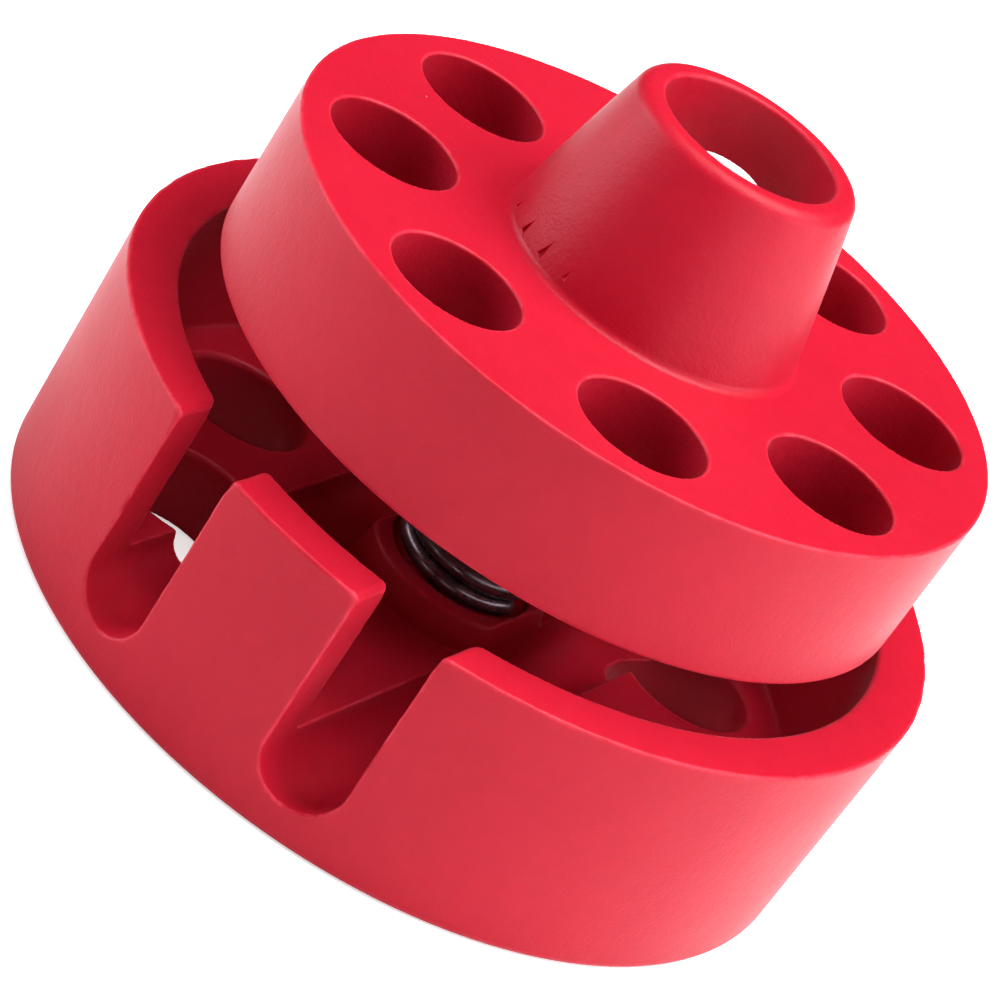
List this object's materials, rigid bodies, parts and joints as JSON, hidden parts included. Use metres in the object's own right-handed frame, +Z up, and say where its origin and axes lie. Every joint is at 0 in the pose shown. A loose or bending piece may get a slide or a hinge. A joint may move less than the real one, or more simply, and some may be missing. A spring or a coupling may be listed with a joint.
{
  "type": "ice fishing tip-up turning hub",
  "caption": "Turning hub: a spring-loaded disc with a tapered nut collar turns on a centre screw over an open cup with straight rod channels and rings of holes.",
  "frame": {"origin": "centre of the cup's flat base", "axes": "+Z up along the turning axis, Y along the two rod channels, X across them"},
  "size_m": [0.0942, 0.0942, 0.0692],
  "materials": {
    "cup_plastic": "satin moulded red plastic",
    "disc_plastic": "satin moulded red plastic",
    "spring_steel": "black oxide spring wire",
    "washer_steel": "zinc plated",
    "screw_nylon": "natural white nylon",
    "nut_nylon": "natural white nylon"
  },
  "bodies": {
    "base": {"lower_cup": "cup_plastic", "centre_screw": "screw_nylon", "centre_spring": "spring_steel", "stop_washer": "washer_steel", "hub_nut": "nut_nylon", "jam_nut": "nut_nylon"},
    "thrust_stage": {"thrust_washer": "washer_steel"},
    "turntable": {"upper_disc": "disc_plastic"}
  },
  "joints": [
    {"name": "disc_press", "type": "slide", "parent": "base", "child": "thrust_stage", "axis": [0, 0, 1], "range_m": [-0.0075, 0], "stiffness_N_per_m": 20000, "deforming": ["centre_spring"]},
    {"name": "disc_turn", "type": "hinge", "parent": "thrust_stage", "child": "turntable", "pos_m": [0, 0, 0.0365], "axis": [0, 0, 1], "continuous": true}
  ]
}
